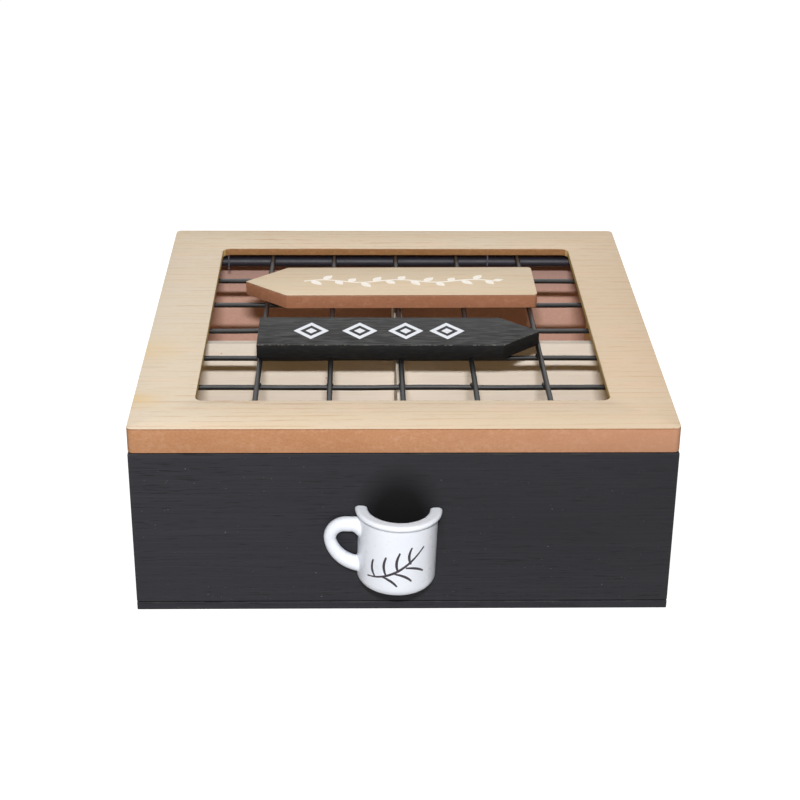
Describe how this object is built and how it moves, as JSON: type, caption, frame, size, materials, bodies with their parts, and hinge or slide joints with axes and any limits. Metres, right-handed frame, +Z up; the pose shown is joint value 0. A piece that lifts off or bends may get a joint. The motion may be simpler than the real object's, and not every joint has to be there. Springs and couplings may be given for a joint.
{
  "type": "tea bag drawer box",
  "caption": "Small dark box with one four-compartment drawer, a half mug pull, and a pale window frame on top with wire mesh and two arrow signs.",
  "frame": {"origin": "middle of the underside of the case's bottom board", "axes": "+Z up, +Y towards the back of the case, +X to the right as seen from the front with the pull; the drawer slides out along -Y"},
  "size_m": [0.18, 0.1945, 0.0715],
  "materials": {
    "case_paint": "charcoal paint on board, satin, with faint level grain",
    "bare_board": "cut edge of bare fibre board, matt orange-brown",
    "veneer": "pale unvarnished veneer with fine straight grain",
    "mesh_coating": "black coated steel wire, semi-gloss",
    "sign_paint": "thin charcoal paint with brushed grain and worn edges",
    "drawer_board": "bare fibre board, matt reddish brown",
    "divider_ply": "bare pale plywood, matt",
    "white_glaze": "cast resin with white gloss enamel",
    "steel": "plain steel nails, staples and screws"
  },
  "bodies": {
    "case": {"case_bottom": "case_paint", "case_left_side": "case_paint", "case_right_side": "case_paint", "case_back": "case_paint", "case_brads": "steel", "top_frame_core": "bare_board", "top_frame_veneer": "veneer", "mesh_border_rod": "mesh_coating", "mesh_long_wires": "mesh_coating", "mesh_cross_wires": "mesh_coating", "mesh_staples": "steel", "natural_sign_core": "bare_board", "natural_sign_veneer": "veneer", "black_sign": "sign_paint", "sign_staples": "steel"},
    "drawer": {"drawer_front": "case_paint", "drawer_left_side": "drawer_board", "drawer_right_side": "drawer_board", "drawer_back": "drawer_board", "drawer_bottom": "drawer_board", "drawer_brads": "steel", "divider_across": "divider_ply", "divider_lengthwise": "divider_ply", "mug_pull": "white_glaze", "pull_screws": "steel"}
  },
  "joints": [
    {"name": "drawer_slide", "type": "slide", "parent": "case", "child": "drawer", "axis": [0, -1, 0], "range_m": [0, 0.14]}
  ]
}
